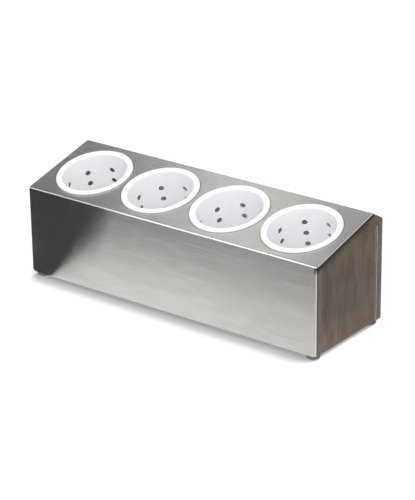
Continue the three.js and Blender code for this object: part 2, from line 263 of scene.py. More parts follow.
def pierced_cells(columns, rows, centres, half_cell, height, radius):
    """A rectangular cell of a strip round each of its holes, whose centres share one height."""
    cells = [columns[np.abs(columns - x) < half_cell + hair] for x in centres]
    return [pierced(rectangle_border(cell, rows), [x, height], radius)
            for cell, x in zip(cells, centres)]

# %% [markdown]
# ## The body's sizes
#
# These are the CAD's own numbers in millimetres. The sheet starts at the front lip under the body,
# rises up the front, slopes up to the ridge, falls along the chamfer, and runs down the back to the
# back lip. Each bend is an arc that touches both of its legs.

# %% Sizes of the sheet-metal body
sheet, inside_bend, edge_ease = 1.2, 1.0, 0.22
outside_bend = inside_bend + sheet
half_length, half_depth, sheet_bottom = 250.0, 77.988, 5.0
slope_angle, slope_length, slope_centre = np.radians(14.36), 135.2, 67.1
chamfer_run, chamfer_drop = 25.0, 14.0
front_top, bottom_lip, flange_width = 134.976, 21.6, 13.0
cup_pitch = 120.5
cup_centres = cup_pitch * (np.arange(4) - 1.5)
plate_hole, lip_end, seat_gap = 50.7, 247.0, 0.3
foot_x, foot_y, screw_hole = 237.7, 67.188, 2.25

along_slope = np.array([np.cos(slope_angle), np.sin(slope_angle)])
into_slope = np.array([along_slope[1], -along_slope[0]])
slope_start = np.array([-half_depth, front_top])
ridge = slope_start + slope_length * along_slope
back_corner = ridge + [chamfer_run, -chamfer_drop]
chamfer_length = np.hypot(chamfer_run, chamfer_drop)
along_chamfer = (back_corner - ridge) / chamfer_length
into_chamfer = np.array([along_chamfer[1], -along_chamfer[0]])
fold_corners = np.array([
    [-half_depth + bottom_lip, sheet_bottom], [-half_depth, sheet_bottom], slope_start,
    ridge, back_corner, [half_depth, sheet_bottom], [half_depth - bottom_lip, sheet_bottom]])
print("ridge", ridge.round(2), "back corner", back_corner.round(2))

# %% [markdown]
# ## The bends
#
# A press brake leaves a bend of constant radius. Both skins of the sheet are arcs round one centre,
# the outer with 2.2 mm and the inner with 1 mm. A bend is therefore described once, by its centre,
# its turn and where it starts along the sheet, and either skin can be asked for at any depth.

# %% One bend of the fold
bend_steps = 9
bend_support = 0.6


def bend(corner_index):
    """The arc at one corner of the fold.

    The centre lies on the line that halves the corner, one outer radius inside both legs. The
    outward directions turn evenly from the first leg's to the second's. Reach is how far from the
    corner the arc touches a leg: radius times the tangent of half the turn.
    """
    before, corner, after = fold_corners[corner_index - 1:corner_index + 2]
    legs = np.array([corner - before, after - corner])
    legs /= np.linalg.norm(legs, axis=1, keepdims=True)
    inward = np.column_stack([legs[:, 1], -legs[:, 0]])
    turn = np.arccos(np.clip(inward[0] @ inward[1], -1, 1))
    centre = corner + outside_bend * inward.sum(0) / (1 + inward[0] @ inward[1])
    angles = np.arctan2(-inward[0, 1], -inward[0, 0]) - turn * np.linspace(0, 1, bend_steps)
    return SimpleNamespace(centre=centre, turn=turn, reach=outside_bend * np.tan(turn / 2),
                           outward=grid_of(np.cos(angles), np.sin(angles)))


bends = {name: bend(i + 1) for i, name in enumerate(
    ["front_bottom", "front_top", "ridge", "back_top", "back_bottom"])}
travelled = 0.0
for fold, length in zip(bends.values(), np.linalg.norm(np.diff(fold_corners, axis=0), axis=1)):
    fold.starts = travelled + (length - fold.reach)
    fold.ends = fold.starts + outside_bend * fold.turn
    travelled = fold.next_leg = fold.ends - fold.reach  # where the next leg starts, laid flat
back_lip_end = travelled + bottom_lip
print({name: round(float(np.degrees(fold.turn)), 1) for name, fold in bends.items()})

# %% [markdown]
# ## Columns along the holder
#
# Front, chamfer and back end in a second bend at each end of the holder, which carries a return
# flange 13 mm wide. One row of points is enough to say how such a face wraps: how far along the
# holder each point lies, and how far inside the face. The slope has no flange. Its edge is cut
# square at the ends, so its columns just run on.

# %% Rows that wrap round the ends
cells_across = 28
cup_columns = np.linspace(cup_centres[0] - cup_pitch / 2, cup_centres[-1] + cup_pitch / 2,
                          4 * cells_across + 1)
screw_columns = np.linspace(2 * foot_x - lip_end, lip_end, 9)
bend_line = half_length - outside_bend
end_columns = np.array([lip_end, bend_line - 0.3, bend_line])
face_columns = np.union1d(cup_columns.round(6), np.concatenate(
    [side * np.hstack([screw_columns, end_columns]) for side in (-1, 1)]).round(6))
corner_angles = np.radians(np.linspace(0, 90, bend_steps))
flange_insets = np.array([outside_bend + bend_support, 6.0, flange_width - bend_support, flange_width])


def to_both_ends(at_end, on_face, mirrored=-1):
    """A row for the whole holder: the right end's values, mirrored or repeated at the left end."""
    return np.hstack([mirrored * at_end[::-1], on_face, at_end])


def wrapped_row(depth):
    """Place along the holder and distance inside the face for one wrapped row of a skin.

    On the end bend both follow one arc: place is the bend line plus the radius times the sine, and
    the distance is the outer radius less the radius times the cosine. On the flange the place is
    constant and the distance grows.
    """
    radius = outside_bend - depth
    end_x = np.hstack([bend_line + radius * np.sin(corner_angles[1:]),
                            np.full(len(flange_insets), half_length - depth)])
    end_inset = np.hstack([outside_bend - radius * np.cos(corner_angles[1:]), flange_insets])
    return to_both_ends(end_x, face_columns), \
        to_both_ends(end_inset, np.full(len(face_columns), depth), mirrored=1)


outer_x, outer_inset = wrapped_row(0)
end_arc = bend_line + outside_bend * corner_angles[1:]
outer_u = to_both_ends(np.hstack([end_arc, end_arc[-1] + flange_insets - outside_bend]),
                       face_columns)
on_flange = outer_inset > outside_bend + hair
on_end_bend = (outer_inset > hair) & ~on_flange
print(len(face_columns), "columns on a face,", len(outer_x), "with its ends")

# %% [markdown]
# ## The folded body
#
# The body is laid out face by face in the order of the fold. Each patch comes with its place on the
# flat blank, which the grain of the steel follows. The front's flanges are cut along the slope, and
# those of chamfer and back meet at a mitre with a hairline gap, as folded corners do.

# %% Faces that wrap round both ends
plane_rows = np.array([0.0, 0.005, 0.08, 0.2, 0.35, 0.5, 0.65, 0.8, 0.92, 0.995, 1.0])
mitre_gap = 0.17
mitred = np.where(on_flange, outer_inset / np.tan((np.pi - bends["back_top"].turn) / 2) + mitre_gap,
                  bends["back_top"].reach)


def wrapped_face(start, along, into, low, high, depth, v_low):
    """A face that wraps round both ends, between a low and a high edge stated column by column."""
    x, inset = wrapped_row(depth)
    travel = low + plane_rows[:, None] * (high - low)
    grid = in_profile(x, start + travel[..., None] * along + inset[None, :, None] * into)
    return grid, grid_of(outer_u, v_low + travel)


def front_patch(depth):
    """The front: from the bottom bend to the top bend, its flanges cut along the slope."""
    start = [-half_depth, sheet_bottom + outside_bend]
    face_height = front_top - bends["front_top"].reach - start[1]

    def under_the_slope(inset):
        """Height of a flange's top, clear of the slope's sheet by the seat gap."""
        return front_top - start[1] + inset * np.tan(slope_angle) \
            - (sheet + seat_gap) / np.cos(slope_angle)

    high = np.where(on_flange, under_the_slope(outer_inset), face_height)
    notch_end = 0.6 * outside_bend
    rise = np.clip((outer_inset - notch_end) / (outside_bend - notch_end), 0, 1)
    notched = face_height - seat_gap + rise * (under_the_slope(outside_bend) - face_height + seat_gap)
    return wrapped_face(start, [0, 1], [1, 0], 0.0, np.where(on_end_bend, notched, high), depth,
                        bends["front_bottom"].ends)


def chamfer_patch(depth):
    """The chamfer: its flanges start under the slope and end at the mitre."""
    clear_of_slope = (sheet + seat_gap - outer_inset * (into_chamfer @ into_slope)) \
        / (along_chamfer @ into_slope)
    low = np.where(outer_inset > hair, clear_of_slope, bends["ridge"].reach)
    return wrapped_face(ridge, along_chamfer, into_chamfer, low, chamfer_length - mitred, depth,
                        bends["ridge"].next_leg)


def back_patch(depth):
    """The back: from the mitre down to the bottom bend."""
    return wrapped_face(back_corner, [0, -1], [-1, 0], mitred,
                        back_corner[1] - sheet_bottom - outside_bend, depth, bends["back_top"].next_leg)


def rounded_in_plan(grid, depth):
    """Keeps a patch inside the rounded upright corners at the front.

    Past the bend line no point may lie further forward than the end bend's own arc at its place.
    """
    radius = outside_bend - depth
    past = np.clip(np.abs(grid[..., 0]) - bend_line, 0, radius)
    foremost = -half_depth + outside_bend - np.sqrt(radius ** 2 - past ** 2) + 0.02 * depth
    grid[..., 1] = np.maximum(grid[..., 1], np.where(past > 0, foremost, -np.inf))
    return grid


print("mitre cut", mitred.min().round(2), "to", mitred.max().round(2), "mm from the corner")

# %% [markdown]
# ## Slope and lips
#
# The four round holes of the slope and the two screw holes of each lip are pierced patches. The lips
# stop short of the ends, where the real blank is notched so that the bends do not tear.

# %% Bends, slope and lips
past_bend_line = np.array([0.45, 0.9, 1.3, 1.6, 1.8, 1.95, outside_bend])
square_columns = to_both_ends(bend_line + past_bend_line, face_columns)


def bend_patch(name, x, inset, u):
    """A bend's rows over the columns x, with their places on the flat blank.

    Each point is the bend's centre plus (outer radius minus inset) times the outward direction. The
    inset is the depth on a straight bend, and grows round the quarter ball that closes its ends.
    """
    fold = bends[name]
    left = (outside_bend - np.broadcast_to(inset, x.shape))[:, None]
    v = fold.starts + outside_bend * fold.turn * np.linspace(0, 1, bend_steps)
    return in_profile(x, fold.centre + left * fold.outward[:, None]), grid_of(u, v[:, None])


def slope_patches(depth):
    """The slope: four pierced cells, the strips beyond them and a narrow strip along each bend."""
    low, high = bends["front_top"].reach, slope_length - bends["ridge"].reach
    rows = np.linspace(low + bend_support, high - bend_support, cells_across + 1)
    flats = pierced_cells(face_columns, rows, cup_centres, cup_pitch / 2, slope_centre, plate_hole)
    flats += [grid_of(square_columns[square_columns < cup_columns[0] + hair], rows[:, None]),
              grid_of(square_columns[square_columns > cup_columns[-1] - hair], rows[:, None]),
              grid_of(square_columns, [[low], [rows[0]]]),
              grid_of(square_columns, [[rows[-1]], [high]])]
    return [(rounded_in_plan(in_profile(flat[..., 0], slope_start + flat[..., 1:] * along_slope
                                        + depth * into_slope), depth),
             flat + [0, bends["front_top"].next_leg]) for flat in flats]


def lip_patches(name, outward_sign, depth):
    """A bottom lip: the flat strip with its two screw holes. The sign is -1 in front, 1 behind."""
    flat_start = bottom_lip - outside_bend
    rows = np.linspace(0, flat_start - bend_support, 7)
    inside = face_columns[np.abs(face_columns) < lip_end + hair]
    flats = pierced_cells(inside, rows, [-foot_x, foot_x], lip_end - foot_x,
                          bottom_lip - (half_depth - foot_y), screw_hole)
    flats += [grid_of(inside[np.abs(inside) < 2 * foot_x - lip_end + hair], rows[:, None]),
              grid_of(inside, [[rows[-1]], [flat_start]])]
    patches = []
    for flat in flats:
        x, out = np.moveaxis(flat[:, ::-1] if outward_sign > 0 else flat, -1, 0)
        y = outward_sign * (half_depth - bottom_lip + out)
        patches.append((grid_of(x, y, sheet_bottom + depth),
                        grid_of(x, out if outward_sign < 0 else back_lip_end - out)))
    return patches + [bend_patch(name, inside, depth, inside)]


print(len(square_columns), "columns on the slope and its bends")

# %% The body's wall
def body_patches(depth):
    """Every patch of the body's skin at one depth, in the order of the fold."""
    front_bend, front_uv = bend_patch("front_top", square_columns, depth, square_columns)
    x, inset = (values[~on_flange] for values in wrapped_row(depth))
    return [*lip_patches("front_bottom", -1, depth), front_patch(depth),
            (rounded_in_plan(front_bend, depth), front_uv), *slope_patches(depth),
            bend_patch("ridge", square_columns, depth, square_columns), chamfer_patch(depth),
            bend_patch("back_top", x, inset, outer_u[~on_flange]), back_patch(depth),
            *lip_patches("back_bottom", 1, depth)]


def sheet_wall(name, patches_at):
    """A wall between a sheet's two skins, from a rule that gives the patches at a depth."""
    near, far = patches_at(0), patches_at(sheet)
    return walled(name, [grid for grid, _ in near], [grid for grid, _ in far],
                  [uv for _, uv in near], ease=edge_ease)


body_mesh = sheet_wall("sheet_body", body_patches)
print("body:", len(body_mesh.vertices), "vertices")

# %% [markdown]
# ## The end panels
#
# Each end is closed by its own panel, set 1.5 mm inside the return flanges, so the flanges frame it.
# Its top edge is folded in under the slope and its bottom edge is folded in over the counter. A
# panel is one grid whose columns stand upright, with a bend and a flange added above and below.

# %% An end panel
panel_face, panel_inset, panel_drop = 248.5, 1.7, 3.7
panel_bend_line = panel_face - outside_bend
top_flange_end, bottom_flange_end = 236.5, 233.5
top_flange_span, half_bottom_flange = (3.9, 131.3), 56.088
panel_edge = half_depth - panel_inset
under_slope, under_chamfer = slope_start + panel_drop * into_slope, ridge + panel_inset * into_chamfer
slope_rise, chamfer_fall = np.tan(slope_angle), along_chamfer[1] / along_chamfer[0]
crest = (under_chamfer[1] - under_slope[1] + under_slope[0] * slope_rise
         - under_chamfer[0] * chamfer_fall) / (slope_rise - chamfer_fall)
flange_y = under_slope[0] + np.linspace(*top_flange_span, 31) * along_slope[0]
panel_y = np.union1d(flange_y.round(6), np.round(np.concatenate(
    [[-panel_edge, panel_edge, -half_bottom_flange, half_bottom_flange, crest],
     np.linspace(flange_y[-1], panel_edge, 6)]), 6))
print("panel crest at y", round(crest, 2), "and", len(panel_y), "columns")


def panel_top(y):
    """Top of a panel's upright face: the lower of two lines, under the slope and the chamfer."""
    return np.minimum(under_slope[1] + (y - under_slope[0]) * slope_rise,
                      under_chamfer[1] + (y - under_chamfer[0]) * chamfer_fall)


def panel_patches(depth, side):
    """A panel's skin: bottom flange with its bend, upright face, top bend with its flange.

    Both bends are a quarter round. From the face on, a point moves inward with the radius times the
    cosine and sinks towards its flange by the radius times the sine. Then the flange runs straight.
    """
    radius, low = outside_bend - depth, sheet_bottom + outside_bend

    def folded(flange_end):
        """Place along the holder, sinking and travel along the sheet, from the face inward."""
        flange = np.linspace(panel_bend_line, flange_end, 5)[1:]
        angles = np.append(corner_angles, np.full(len(flange), np.pi / 2))
        x, travel = panel_bend_line + radius * np.cos(angles), outside_bend * angles
        x[-len(flange):] = flange
        travel[-len(flange):] += panel_bend_line - flange
        return x[:, None], radius * np.sin(angles)[:, None], travel[:, None]

    above = panel_y[(panel_y > flange_y[0] - hair) & (panel_y < flange_y[-1] + hair)]
    below = panel_y[np.abs(panel_y) < half_bottom_flange + hair]
    face_z = low + plane_rows[:, None] * (panel_top(panel_y) - low)
    x, sunk, travel = (values[::-1] for values in folded(bottom_flange_end))
    patches = [(grid_of(x, below, low - sunk), grid_of(low - travel, below)),
               (grid_of(panel_face - depth, panel_y, face_z), grid_of(face_z, panel_y))]

    x, sunk, travel = folded(top_flange_end)
    distance = (above[:, None] - under_slope[0]) / along_slope[0]
    yz = slope_start + distance * along_slope + (panel_drop - sunk)[..., None] * into_slope
    patches.append((in_profile(x, yz), grid_of(panel_top(above) + travel, above)))
    if side < 0:
        patches = [(grid[:, ::-1] * [-1, 1, 1], uv[:, ::-1]) for grid, uv in patches]
    return patches

# %% [markdown]
# ## Marks on the meshes
#
# Painted shade darkens the joint under the slope's ends, and a painted glow lights the cylinders'
# outer skins below the slope. Both depend on where a point lies, so each is worked out once per point
# and kept on the mesh as an attribute, which the finishes read.

# %% Values for each point
def marked(mesh, name, value_at):
    """A value per point, from a rule that reads the points (mm) and their depth under the slope.

    Depth is the distance from the slope's face along its inward normal.
    """
    points = points_of(mesh)
    values = value_at(points, (points[:, 1:] - slope_start) @ into_slope)
    mesh.attributes.new(name, "FLOAT", "POINT").data.foreach_set("value", values.astype(np.float32))
    return mesh


def joint_painted_shade(points, depth):
    """Painted shade: 1 just under the slope's edge at the ends, 0 from 7 mm below it, and 0.8 at the
    lowest edge.
    """
    end_zone, under_edge, clean_from, fading, lowest = 246.0, 1.3, 7.0, 3.6, 7.1
    at_end = np.abs(points[:, 0]) > end_zone
    return np.maximum(at_end * (depth > under_edge) * np.clip((clean_from - depth) / fading, 0, 1),
                      0.8 * at_end * (points[:, 2] < lowest))


def painted_glow_below_slope(points, depth):
    """Painted glow: 1 on a cylinder's outer skin, the first half of its points, from 8 mm under the
    slope.
    """
    return (np.arange(len(points)) < len(points) // 2) * np.clip((depth - 4.0) / 4.0, 0, 1)


# painted shade under the slope's ends and along the lowest edge, kept on the body's points
marked(body_mesh, "painted_joint_shade", joint_painted_shade)
print("body: painted joint shade and grain have their places")

# %% [markdown]
# ## The cylinders
#
# A cylinder is injection moulded: a wall that widens a little upwards, a flat floor, and a rolled
# lip that hangs on the slope. It is drilled with eight columns of five drain holes, and seven in
# the floor. The two skins share one layout of patches, so each hole runs straight through.

# %% Profiles of a cylinder
outside = SimpleNamespace(  # sizes of each skin, with heights measured from the slope's face
    floor=-131.0, into_wall=1.0, fillet=8.0, fillet_top=-123.0, low_radius=45.2, wall_length=124.2,
    wall_top=0.7, lip_across=0.5, lip_up=0.5, edge_round=0.3, lip_flat=1.2, lip_edge=54.2)
inside = SimpleNamespace(
    floor=-128.4, into_wall=-1.0, fillet=5.8, fillet_top=-122.6, low_radius=43.0, wall_length=123.2,
    wall_top=0.6, lip_across=3.6, lip_up=2.4, edge_round=2.0, lip_flat=3.0, lip_edge=56.0)
draft, lip_rim_height = 4.0, 0.3
floor_hub, hub_edge, floor_edge = 4.0, 12.0, 37.2
hole_radius, hole_pitch, hole_columns, hole_rows = 4.0, 17.3, 8, 5
quarter_sine, quarter_cosine = (wave(np.linspace(0, np.pi / 2, 9)) for wave in (np.sin, np.cos))


def wall_radius(z, skin):
    """The drafted wall: a straight line from the floor's fillet to the mouth."""
    return skin.low_radius + draft * (z - skin.fillet_top) / skin.wall_length


def cylinder_profile(skin, cell_low, cell_high):
    """Two runs of (radius, height): from the floor's flat end up to the holes, and on to the lip.

    Inside, the lip is a long quarter round (3.6 mm across, 2.4 mm high), a flat and a quarter
    round of 2 mm. Outside it is a cove under the lip, the flat underside and a small round.
    """
    low_z = np.linspace(skin.fillet_top, cell_low, 6)[1:]
    below = np.vstack([grid_of(floor_edge + skin.fillet * quarter_sine,
                               skin.fillet_top - skin.fillet * quarter_cosine),
                       grid_of(wall_radius(low_z, skin), low_z)])
    high_z = np.linspace(cell_high, skin.wall_top, 5)
    wall = grid_of(wall_radius(high_z, skin), high_z)
    start, end = wall[-1, 0] + skin.lip_across, skin.lip_edge - skin.edge_round
    inner_round = grid_of(start - skin.lip_across * quarter_cosine[1:],
                          skin.lip_flat - skin.lip_up + skin.lip_up * quarter_sine[1:])
    flat = grid_of(np.linspace(start, end, 4)[1:], skin.lip_flat)
    outer_round = grid_of(end + skin.edge_round * quarter_sine[1:],
                          skin.lip_flat - skin.edge_round + skin.edge_round * quarter_cosine[1:])
    return below, np.vstack([wall, inner_round, flat, outer_round, [[skin.lip_edge, lip_rim_height]]])


def once_round(steps):
    """Angles of a full turn, of which the last is the first again."""
    return 2 * np.pi / steps * np.append(np.arange(steps), 0)


def ring_patch(profile, theta):
    """A profile turned round the axis: (radius cos theta, radius sin theta, height)."""
    return grid_of(profile[:, :1] * np.cos(theta), profile[:, :1] * np.sin(theta), profile[:, 1:])


print("radii at the mouth:", [round(float(wall_radius(0.0, skin)), 1) for skin in (inside, outside)])

# %% A cylinder's skins
theta_steps = 96
step = 2 * np.pi / theta_steps
hub_holes, hub_hole_ring, hub_hole_turn = 6, 26.0, np.radians(5.625)
flat_cell_radius, top_row_height = 46.0, 3.0
hole_shares = np.array([0.0, 0.035, 0.12, 0.3, 0.6, 1.0])


def cylinder_patches(turn, first_row, skin):
    """Floor with seven holes, fillet, wall with forty holes, and lip, in the cylinder's own frame."""
    row_z = top_row_height - first_row - hole_pitch * np.arange(hole_rows)
    cell_low, cell_high = row_z[-1] - hole_pitch / 2, row_z[0] + hole_pitch / 2
    below, above = cylinder_profile(skin, cell_low, cell_high)
    theta = turn + once_round(theta_steps)
    centre_ring = np.array([[floor_hub, skin.floor + skin.into_wall * edge_ease],
                            [floor_hub + 0.3, skin.floor], [8.0, skin.floor], [hub_edge, skin.floor]])
    patches = [ring_patch(run, theta) for run in (centre_ring, below, above)]

    for sector in range(hub_holes):
        angles = turn + step * (theta_steps // hub_holes * sector + np.arange(-9, 8))
        polar = rectangle_border(angles, np.linspace(hub_edge, floor_edge, 9))
        border = polar[:, 1:] * grid_of(np.cos(polar[:, 0]), np.sin(polar[:, 0]))
        at = turn + sector * 2 * np.pi / hub_holes - hub_hole_turn
        hole = hub_hole_ring * np.array([np.cos(at), np.sin(at)])
        flat = pierced(border, hole, hole_radius, hole_shares)
        heights = np.full((len(flat), 1), skin.floor)
        heights[0] += skin.into_wall * edge_ease
        patches.append(grid_of(flat[..., 0], flat[..., 1], heights))

    for column in range(hole_columns):
        for z in row_z:
            border = rectangle_border(flat_cell_radius * step * np.arange(-6, 7),
                                      np.linspace(z - hole_pitch / 2, z + hole_pitch / 2, 6))
            flat = pierced(border, [0.0, z], hole_radius, hole_shares)
            radius = wall_radius(flat[..., 1], skin)
            radius[0] -= skin.into_wall * edge_ease
            around = turn + column * 2 * np.pi / hole_columns + flat[..., 0] / flat_cell_radius
            patches.append(grid_of(radius * np.cos(around), radius * np.sin(around), flat[..., 1]))
    return patches


def cylinder_mesh(centre_x, turn, first_row):
    """A cylinder whose axis stands square on the slope.

    The near skin is the outside one, so the holes' rims and the lip's lower edge close the wall.
    """
    near, far = ([in_profile(grid[..., 0] + centre_x, slope_start + (slope_centre + grid[..., 1:2])
                             * along_slope - grid[..., 2:] * into_slope)
                  for grid in cylinder_patches(turn, first_row, skin)] for skin in (outside, inside))
    # painted glow on the outer skin, kept on its points
    return marked(walled("cylinder", near, far), "painted_glow", painted_glow_below_slope)

# %% [markdown]
# ## Feet and their fasteners
#
# A rubber foot is moulded with a deep recess. A pan-head screw pulls a washer against the recess's
# floor and passes through the sheet into a nut. All four are turned shapes, so each is a profile
# carried round an axis. The nut's sides and the screw's recess and thread are changes of that radius
# or height round the turn.

# %% Turned shapes
def rounded_profile(corners, radii, count=5):
    """A closed profile whose corners are eased: a quadratic curve joins the points one radius away."""
    corners, radii = np.array(corners, float), np.array(radii)[:, None]
    ends = []
    for shift in (1, -1):
        leg = np.roll(corners, shift, 0) - corners
        ends.append(corners + radii * leg / np.linalg.norm(leg, axis=1, keepdims=True))
    t = np.linspace(0, 1, count)[None, :, None]
    start, end, corner = (points[:, None] for points in (*ends, corners))
    curve = ((1 - t) ** 2 * start + 2 * t * (1 - t) * corner + t ** 2 * end).reshape(-1, 2)
    return np.vstack([curve, curve[:1]])


foot_profile = rounded_profile(
    [[2.25, 5], [2.25, 3.1], [5.2, 3.1], [5.2, 0], [8.4, 0], [9.2, 0.8], [10, 5]],
    [0.15, 0.15, 0.2, 0.4, 0.35, 0.3, 0.3])
washer_profile = rounded_profile([[2.25, 2.3], [4.6, 2.3], [4.6, 3.1], [2.25, 3.1]], [0.12] * 4)
print("foot", len(foot_profile), "rows, washer", len(washer_profile), "rows")

# %% Nut and screw
def nut_surface():
    """A hexagon across flats 7 mm, cut by a cone at both faces: radius is the lesser of the two."""
    low, high, bore, bore_bevel, half_across = 6.2, 9.4, 2.15, 0.3, 3.5
    cone_start, cone_slope, cone_height = 3.32, 1.732, 0.42
    theta = once_round(96)
    hexagon = half_across / np.cos(np.mod(theta, np.pi / 3) - np.pi / 6)
    rise = np.linspace(0, cone_height, 8)
    cone = cone_start + np.hstack([rise, rise[::-1]]) * cone_slope
    bored = np.full((1, len(theta)), bore)
    rings = np.vstack([bored, bored + bore_bevel, np.minimum(hexagon[None], cone[:, None]),
                       bored + bore_bevel, bored, bored])
    heights = np.hstack([[low + bore_bevel, low], low + rise, high - rise[::-1],
                              [high, high - bore_bevel, low + bore_bevel]])
    return grid_of(rings * np.cos(theta), rings * np.sin(theta), heights[:, None])


def screw_surface():
    """A pan-head screw: the head's face sinks inside a cross, and the shank carries a thread.

    Recess depth is 1.1 mm times a smooth step of how far a point is inside the cross's arms. The
    thread is a triangle wave of height over pitch less turn, 0.25 mm deep.
    """
    face_rows, shank_rows, shank_radius, head_round = 26, 100, 1.95, 0.7
    recess, half_arm, arm_reach, arm_ease = 1.1, 0.5, 1.9, 0.25
    pitch, thread_depth, thread_start = 0.7, 0.25, 5.5
    shank_z = np.linspace(2.6, 9.9, shank_rows)
    profile = np.vstack([
        grid_of(np.linspace(0, 2.9, face_rows), 0.4),
        grid_of(3.0 + head_round * quarter_sine, 1.1 - head_round * quarter_cosine)[1:],
        [[3.7, 2.3], [2.0, 2.3]], grid_of(shank_radius, shank_z), [[1.5, 10.4], [0, 10.4]]])
    theta = once_round(64)
    grid = ring_patch(profile, theta)
    x, y = np.abs(grid[:face_rows, :, 0]), np.abs(grid[:face_rows, :, 1])
    inside_cross = np.minimum(half_arm - np.minimum(x, y), arm_reach - np.maximum(x, y)) / arm_ease
    inside_cross = np.clip(inside_cross, 0, 1)
    grid[:face_rows, :, 2] += recess * inside_cross ** 2 * (3 - 2 * inside_cross)
    wave = np.mod(shank_z[:, None] / pitch - theta / (2 * np.pi), 1)
    cut = thread_depth * np.abs(2 * wave - 1) * np.clip((shank_z[:, None] - thread_start) / pitch, 0, 1)
    grid[-2 - shank_rows:-2, :, :2] *= ((shank_radius - cut) / shank_radius)[..., None]
    return grid


print("nut", nut_surface().shape[:2], "and screw", screw_surface().shape[:2], "rows and columns")

# %% [markdown]
# ## Sums of nodes
#
# A finish is mostly arithmetic: a noise times a factor, a difference of two places. Written as nodes
# and links that takes many lines, so a node's output is wrapped in a small class. Adding or
# multiplying two of these wires makes the Math node and its links.

# %% Wires between nodes
class Wire:
    """A node's output. Arithmetic with wires and numbers adds Math nodes to the same tree."""

    def __init__(self, socket):
        self.socket, self.tree = socket, socket.id_data

    __add__ = __radd__ = lambda self, other: calc("ADD", self, other)
    __mul__ = __rmul__ = lambda self, other: calc("MULTIPLY", self, other)
    __sub__ = lambda self, other: calc("SUBTRACT", self, other)
    __rsub__ = lambda self, other: calc("SUBTRACT", other, self)
    __truediv__ = lambda self, other: calc("DIVIDE", self, other)
    __rtruediv__ = lambda self, other: calc("DIVIDE", other, self)
    __abs__ = lambda self: calc("ABSOLUTE", self, 0.0)


def connect(socket, value):
    """Links a wire to an input, or sets the input to a number, a vector or a colour."""
    if isinstance(value, Wire):
        value.tree.links.new(value.socket, socket)
    else:
        socket.default_value = (*value, 1.0) if socket.type == "RGBA" else value


def feed(node, *inputs, **values):
    """Gives a node its properties and its inputs by name, and then the first inputs by place."""
    for key, value in values.items():
        if hasattr(node, key):
            setattr(node, key, value)
        else:
            connect(node.inputs[key.replace("_", " ")], value)
    for socket, value in zip(node.inputs, inputs):
        connect(socket, value)
    return node


def new_node(tree, kind, *inputs, **values):
    """A new shader node with its properties and inputs."""
    return feed(tree.nodes.new("ShaderNode" + kind), *inputs, **values)


def wire(tree, kind, *inputs, output=0, **values):
    """One output of a new shader node."""
    return Wire(new_node(tree, kind, *inputs, **values).outputs[output])


def calc(operation, first, second):
    """A Math node between wires and numbers."""
    tree = (first if isinstance(first, Wire) else second).tree
    return wire(tree, "Math", first, second, operation=operation)


print("a Wire can be added, subtracted, multiplied and divided")

# %% Ranges, noises and colours
def parts_of(vector):
    """The three parts of a vector."""
    return [Wire(part) for part in new_node(vector.tree, "SeparateXYZ", vector).outputs]


def ranged(value, low, high, to_low=0.0, to_high=1.0):
    """A smooth step from one span to another."""
    return wire(value.tree, "MapRange", interpolation_type="SMOOTHSTEP", Value=value,
                From_Min=low, From_Max=high, To_Min=to_low, To_Max=to_high)


def noise(place, scale, detail, roughness, distortion=0.0):
    """Noise with a number of waves per metre: one for all directions, or one for each."""
    if isinstance(scale, tuple):
        place, scale = wire(place.tree, "VectorMath", place, scale, operation="MULTIPLY"), 1.0
    return wire(place.tree, "TexNoise", Vector=place, Scale=scale, Detail=detail,
                Roughness=roughness, Distortion=distortion)


def tinted(factor, first, second):
    """A mix of two colours, each a tuple or a wire."""
    node = new_node(factor.tree, "Mix", factor, data_type="RGBA")
    connect(node.inputs[6], first)
    connect(node.inputs[7], second)
    return Wire(node.outputs[2])


def coloured(value, red, green, blue):
    """A colour whose three parts are shares of one value."""
    return wire(value.tree, "CombineColor", Red=value * red, Green=value * green, Blue=value * blue)


def bumped(height, strength, distance):
    """The normal of a surface with small bumps."""
    return wire(height.tree, "Bump", Strength=strength, Distance=distance, Height=height)


print("ready: parts_of, ranged, noise, tinted, coloured and bumped")

# %% [markdown]
# ## Effects that the finishes share
#
# Four effects are wanted by more than one finish, so each is a shader node group with named
# sockets. Brushing draws long fine lines along the grain. Handling gives soft patches where the
# holder has been wiped and touched. Lip shadow is a painted shadow: the thin dark ring where each
# cylinder's lip rests on the slope. Moulded skin is the fine unevenness of plastic and rubber.

# %% Brushing, handling and moulded skin
def effect(name, inputs, rule):
    """A shader node group with named sockets, from a rule that turns input wires into outputs.

    Inputs give each socket's name and default, where None stands for a vector without one.
    """
    tree = bpy.data.node_groups.new(name, "ShaderNodeTree")
    for label, value in inputs.items():
        kind = "NodeSocketVector" if value is None else "NodeSocketFloat"
        socket = tree.interface.new_socket(name=label, in_out="INPUT", socket_type=kind)
        if value is not None:
            socket.default_value = value
    group_in = tree.nodes.new("NodeGroupInput")
    results = rule(*(Wire(group_in.outputs[label]) for label in inputs))
    for label in results:
        tree.interface.new_socket(name=label, in_out="OUTPUT", socket_type="NodeSocketFloat")
    group_out = tree.nodes.new("NodeGroupOutput")
    for label, value in results.items():
        connect(group_out.inputs[label], value)
    return tree


def brushing_rule(flat_place):
    """Noises stretched along the grain: 0.55 fine plus 0.45 coarse lines, bands, clouds and stains."""
    fine = noise(flat_place, (26.0, 2600.0, 1.0), 3.0, 0.65)
    coarse = noise(flat_place, (7.0, 800.0, 1.0), 2.0, 0.6)
    return {"Lines": fine * 0.55 + coarse * 0.45,
            "Bands": noise(flat_place, (2.2, 38.0, 1.0), 2.0, 0.5),
            "Clouds": noise(flat_place, (9.0, 17.0, 1.0), 3.0, 0.55, 0.6),
            "Stains": ranged(noise(flat_place, (15.0, 48.0, 1.0), 4.0, 0.62, 0.5), 0.40, 0.64)}


def handling_rule(place, amount):
    """Patches where both an even and a drawn-out noise are high, times the amount."""
    patchy = ranged(noise(place, 26.0, 4.0, 0.6, 0.8), 0.48, 0.72)
    wiped = ranged(noise(place, (14.0, 60.0, 60.0), 2.0, 0.5), 0.35, 0.65)
    return {"Smudges": patchy * wiped * amount}


